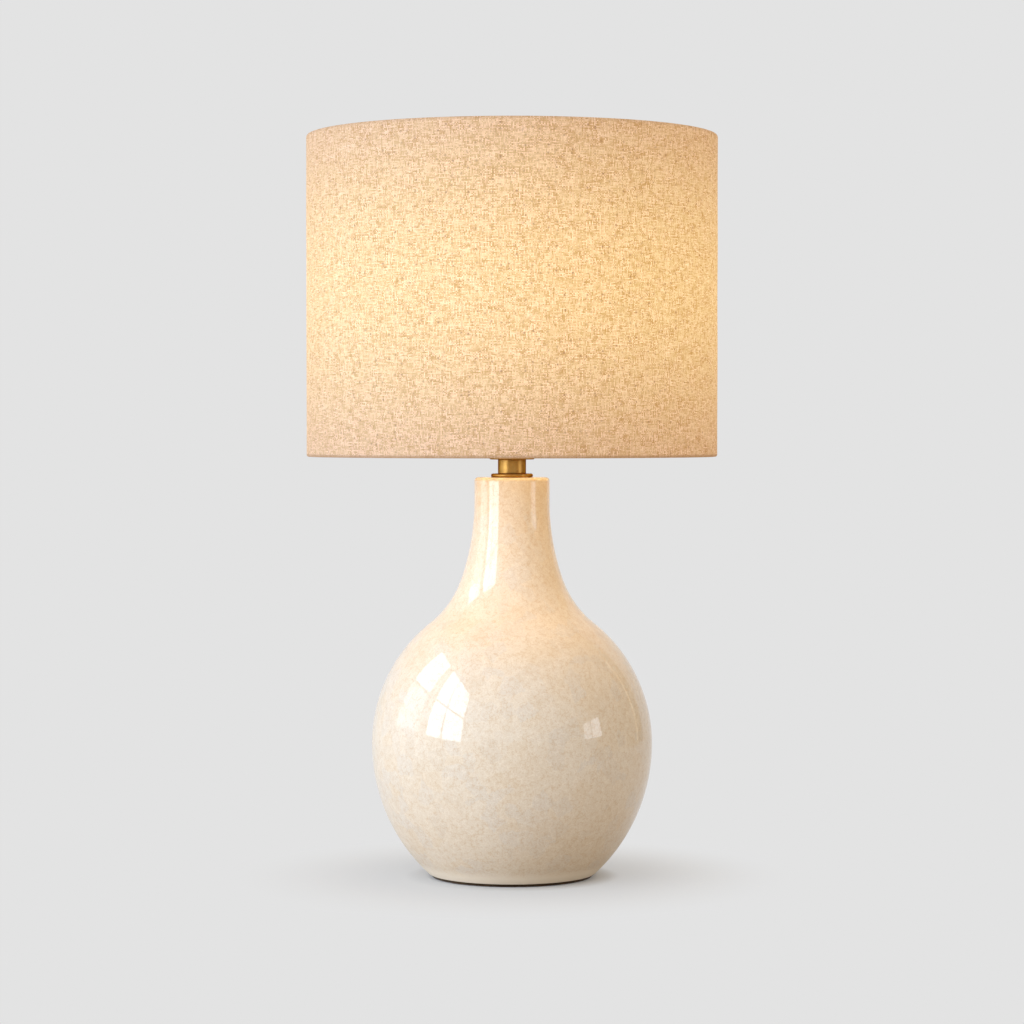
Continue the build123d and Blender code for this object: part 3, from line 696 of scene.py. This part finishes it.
def moulded(name, tone, darker, roughness, grain, depth):
    """Moulded, coated or pressed sheet with a fine grain."""
    made, tree, surface = finish(name)
    base = use(tree, uneven_tone, Tone=tone, Darker=darker, Scale=60.0, Amount=0.6)["Color"]
    wire(tree, base, surface["Base Color"])
    handled = use(tree, handling, Roughness=roughness, Spread=0.1)["Roughness"]
    wire(tree, handled, surface["Roughness"])
    wire(tree, relief(tree, noise(tree, place(tree), grain, 3.0), depth, 0.5), surface["Normal"])
    return made


def lit_globe():
    """The bulb's frosted globe with the light on, warmer towards its collar."""
    made, tree, surface = finish("frosted_globe")
    frost, darker = rgb(0.030, 0.028, 0.024), rgb(0.020, 0.018, 0.015)
    base = use(tree, uneven_tone, Tone=frost, Darker=darker, Scale=60.0, Amount=0.6)["Color"]
    wire(tree, base, surface["Base Color"])
    wire(tree, use(tree, handling, Roughness=0.55, Spread=0.1)["Roughness"], surface["Roughness"])
    surface["Specular IOR Level"].default_value = 0.03
    height = put(tree, "SeparateXYZ", {0: place(tree)}, 2)
    deep = span(tree, height, globe_centre - globe_radius, globe_centre + 0.5 * globe_radius)
    light = tint(tree, deep, rgb(0.62, 0.38, 0.15), rgb(0.74, 0.62, 0.42))
    cloud = noise(tree, place(tree), 40.0, 2.0)
    light = tint(tree, span(tree, cloud, 0.3, 0.7, 0.0, 0.3), light, rgb(0.66, 0.52, 0.33))
    wire(tree, light, surface["Emission Color"])
    surface["Emission Strength"].default_value = 1.0
    made.cycles.emission_sampling = "NONE"
    return made


# Metals: name, tone, darker tone, roughness, its spread and the depth of the turned marks
metals = {
    "brass": ("satin_brass", (0.54, 0.31, 0.085), (0.32, 0.16, 0.035), 0.33, 0.10, 4e-6),
    "brass_plate": ("brass_plate", (0.66, 0.46, 0.20), (0.50, 0.32, 0.12), 0.26, 0.12, 3e-6),
    "zinc_steel": ("zinc_steel", (0.62, 0.63, 0.64), (0.44, 0.45, 0.46), 0.36, 0.15, 3e-6),
    "contact_metal": ("nickelled_brass", (0.70, 0.64, 0.52), (0.52, 0.44, 0.30), 0.28, 0.12, 3e-6),
    "aluminium_plate": ("bare_aluminium", (0.80, 0.81, 0.82), (0.66, 0.67, 0.68), 0.35, 0.1, 3e-6),
}
# Moulded and coated: name, tone, darker tone, roughness, grains in a metre and their depth
coats = {
    "fibre": ("pressed_fibre", (0.26, 0.17, 0.10), (0.16, 0.10, 0.06), 0.75, 900.0, 1e-4),
    "dark_plastic": (
        "dark_plastic", (0.030, 0.026, 0.024), (0.016, 0.014, 0.013), 0.38, 1400.0, 4e-5
    ),
    "white_plastic": ("white_plastic", (0.84, 0.83, 0.80), (0.76, 0.74, 0.70), 0.4, 1400.0, 4e-5),
    "liner_sheet": ("shade_lining", (0.88, 0.84, 0.76), (0.82, 0.76, 0.66), 0.55, 500.0, 6e-5),
    "white_wire": ("white_coated_wire", (0.82, 0.81, 0.78), (0.72, 0.70, 0.66), 0.42, 1200.0, 5e-5),
}
finishes = {"glaze": glaze(), "linen": linen_cloth(), "felt": felt(), "frosted_globe": lit_globe()}
for slot, (name, tone, darker, *rest) in metals.items():
    finishes[slot] = metal(name, rgb(*tone), rgb(*darker), *rest)
for slot, (name, tone, darker, *rest) in coats.items():
    finishes[slot] = moulded(name, rgb(*tone), rgb(*darker), *rest)

# Each solid's finish is the one that the record gives to its material slot
slot_of = {row["node"]: row["material_slot"] for row in frame["record"]["subparts"]}


def dress(piece, slot):
    """Gives a piece the finish of a material slot."""
    if not piece.material_slots:
        piece.data.materials.append(None)
    for holder in piece.material_slots:
        holder.link = "OBJECT"
        holder.material = finishes[slot]


for name, solid in nodes.items():
    dress(solid, slot_of[name])

# Pieces made here in place of solids
body = glazed_body()
shade = linen_shade()
pad = felt_pad()
made_here = [
    (body, "ceramic_body", "base", "glaze"),
    (shade, "shade_cover", "shade", "linen"),
    (pad, "foot_pad", "base", "felt"),
]
made_here += [(brass_ring(node), node, "base", "brass") for node in brass_rounding]
made_here += [(threaded_cap(), "bulb_screw_cap", "bulb", slot_of["bulb_screw_cap"])]
for piece, node, carrier, slot in made_here:
    dress(piece, slot)
    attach(piece, carrier)
    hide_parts(node)


# Stage
backdrop_grey = rgb(0.768, 0.768, 0.768)
daylight = (0.89, 0.99, 1.13)
warm_white = (1.0, 0.78, 0.50)
bulb_colour = (1.0, 0.72, 0.42)
shade_light_colour = (1.0, 0.54, 0.10)


def seen_directly(tree):
    """1 for what the camera sees, by itself, in something shiny or through something clear."""
    rays = put(tree, "LightPath", {}).node.outputs
    mirrored = maths(tree, "MAXIMUM", rays["Is Glossy Ray"], rays["Is Transmission Ray"])
    return maths(tree, "MAXIMUM", rays["Is Camera Ray"], mirrored)


def make_world(ambient, overhead):
    """Soft warm light from all round, weaker from above, and a plain grey backdrop."""
    world = bpy.data.worlds.new("studio")
    world.use_nodes = True
    tree = world.node_tree
    tree.nodes.clear()
    up = put(tree, "SeparateXYZ", {0: put(tree, "TexCoord", {}, "Generated")}).node.outputs[2]
    strength = span(tree, up, 0.0, 0.8, ambient, overhead)
    lit = put(tree, "Background", {"Color": rgb(1.0, 0.92, 0.83), "Strength": strength})
    shown = put(tree, "Background", {"Color": backdrop_grey, "Strength": 1.0})
    both = put(tree, "MixShader", {0: seen_directly(tree), 1: lit, 2: shown})
    tree.links.new(both, tree.nodes.new("ShaderNodeOutputWorld").inputs["Surface"])
    bpy.context.scene.world = world


def board(name, corners):
    """A flat board with four corners."""
    mesh = bpy.data.meshes.new(name)
    mesh.from_pydata(corners, [], [(0, 1, 2, 3)])
    return placed(name, mesh)


def make_floor(tone):
    """A pale table top that fades into the backdrop away from the lamp and keeps its shadow."""
    half = 6.0
    corners = [(-half, -half, 0), (half, -half, 0), (half, half, 0), (-half, half, 0)]
    floor = board("table_top", corners)
    made, tree, surface = finish("pale_table_top")
    surface["Base Color"].default_value = rgb(0.96 * tone, tone, 1.05 * tone)
    surface["Roughness"].default_value = 0.9
    surface["Specular IOR Level"].default_value = 0.0
    away = put(tree, "VectorMath", {0: place(tree)}, 1, operation="LENGTH")
    close = span(tree, away, foot_radius - 0.001, foot_radius + 0.043, 0.10, 1.0)
    fade = maths(tree, "MINIMUM", close, span(tree, away, 0.075, 0.23, 0.50, 1.0))
    fade = maths(tree, "MULTIPLY", fade, seen_directly(tree))
    grey = put(tree, "Emission", {"Color": backdrop_grey, "Strength": 1.0})
    bounce = put(tree, "BsdfDiffuse", {"Color": rgb(0.48, 0.42, 0.34)})
    top = tree.nodes["Principled BSDF"].outputs[0]
    shadow = put(tree, "MixShader", {0: seen_directly(tree), 1: bounce, 2: top})
    both = put(tree, "MixShader", {0: fade, 1: shadow, 2: grey})
    tree.links.new(both, tree.nodes["Material Output"].inputs["Surface"])
    made.cycles.emission_sampling = "NONE"
    floor.data.materials.append(made)


def card(name, wall, near, far, low, high, colour):
    """A plain card at one side, which only shows in shiny surfaces."""
    corners = [(wall, near, low), (wall, far, low), (wall, far, high), (wall, near, high)]
    made = board(name, corners)
    paint = bpy.data.materials.new(name)
    paint.use_nodes = True
    tree = paint.node_tree
    glow = put(tree, "Emission", {"Color": colour, "Strength": 1.0})
    tree.links.new(glow, tree.nodes["Material Output"].inputs["Surface"])
    paint.cycles.emission_sampling = "NONE"
    made.data.materials.append(paint)
    made.visible_camera = made.visible_diffuse = made.visible_shadow = False


def pane(name, wall, near, far, low, high, radiance, colour, shows=True):
    """A pane in a side wall, given by its edges. It shows in the glaze, or else it lights it."""
    width, height = far - near, high - low
    light = bpy.data.lights.new(name, "AREA")
    light.shape = "RECTANGLE"
    light.size, light.size_y = width, height
    light.energy = radiance * pi * width * height
    light.color = colour
    made = linked(name, light)
    made.location = (wall, (near + far) / 2, (low + high) / 2)
    made.rotation_mode = "QUATERNION"
    made.rotation_quaternion = Vector((-wall, 0, 0)).to_track_quat("-Z", "Y")
    made.visible_camera = False
    made.visible_glossy, made.visible_diffuse = shows, not shows
    return made


def bulb_light(power):
    """The lit bulb, as a ball of light just round its globe."""
    light = bpy.data.lights.new("bulb_light", "POINT")
    light.energy = power
    light.color = bulb_colour
    light.shadow_soft_size = globe_radius + 0.002
    light.use_soft_falloff = False
    made = linked("bulb_light", light)
    made.location = (0, 0, globe_centre)
    made.visible_camera = made.visible_glossy = False
    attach(made, "bulb")


def glow_below(radiance):
    """The warm light that comes down out of the shade on to the neck and shoulder."""
    across = 2 * (liner_outside - liner)
    light = bpy.data.lights.new("glow_below", "AREA")
    light.shape = "DISK"
    light.size = across
    light.energy = radiance * pi * pi * across**2 / 4
    light.color = shade_light_colour
    made = linked("glow_below", light)
    made.location = (0, 0, shade_bottom + hem_radius)
    made.visible_camera = made.visible_glossy = False
    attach(made, "shade")


def make_camera():
    """The photograph's view: level with the shade's lower edge, a long way off."""
    lens = bpy.data.cameras.new("camera")
    lens.lens = 106.9
    lens.sensor_width = 36.0
    made = linked("camera", lens)
    made.location = (0.0, -2.450, 0.360)
    made.rotation_euler = (radians(90 - 1.545), 0, 0)
    bpy.context.scene.camera = made


make_world(ambient=0.90, overhead=0.50)
make_floor(tone=0.65)
left_wall, right_wall = -1.3, 1.3
sill, cross_bar, head, bar = 0.25, 0.80, 1.58, 0.04
card("right_screen", right_wall + 0.1, -1.6, 1.3, 0.0, 2.0, rgb(0.42, 0.30, 0.17))
# The left window: each column's near and far edge, and how bright its lower and upper pane are
columns = ((-1.50, -0.83, 8.5, 8.5), (-0.83 + bar, -0.42, 8.5, 8.5), (-0.20, 0.42, 2.2, 6.0))
for column, (near, far, *bright) in enumerate(columns):
    for row, (low, high) in enumerate(((sill, cross_bar), (cross_bar + bar, head))):
        pane("pane_%d_%d" % (column, row), left_wall, near, far, low, high, bright[row], daylight)
pane("right_pane_0", right_wall, -0.77, -0.57, 0.22, 0.48, 3.6, daylight)
pane("right_pane_1", right_wall, -0.55, -0.33, 0.22, 0.49, 4.4, daylight)
pane("right_frame", right_wall, 0.79, 0.83, 0.02, 1.35, 2.4, warm_white)
pane("far_light", left_wall, -0.20, 0.42, sill, 1.0, 1.1, daylight, False)
pane("low_light", left_wall, -1.50, -0.42, sill, cross_bar, 6.1, daylight, False)
pane("high_light", left_wall, -1.50, -0.42, cross_bar + bar, head, 2.3, daylight, False)
# Soft lights that face the lamp
soft_lights = [
    pane("front_cloth", -1.0, -2.9, -1.3, 0.4, 2.0, 1.9, daylight, False),
    pane("left_card", -0.8, -0.9, 0.2, 0.0, 0.22, 2.7, daylight, False),
    pane("right_card", right_wall, -1.2, 0.8, 0.3, 1.4, 0.54, warm_white, False),
]
for soft in soft_lights:
    soft.rotation_quaternion = (Vector((0, 0, 0.3)) - soft.location).to_track_quat("-Z", "Y")
bulb_light(power=0.42)
glow_below(radiance=0.92)
make_camera()
bpy.context.scene.view_settings.view_transform = "Standard"
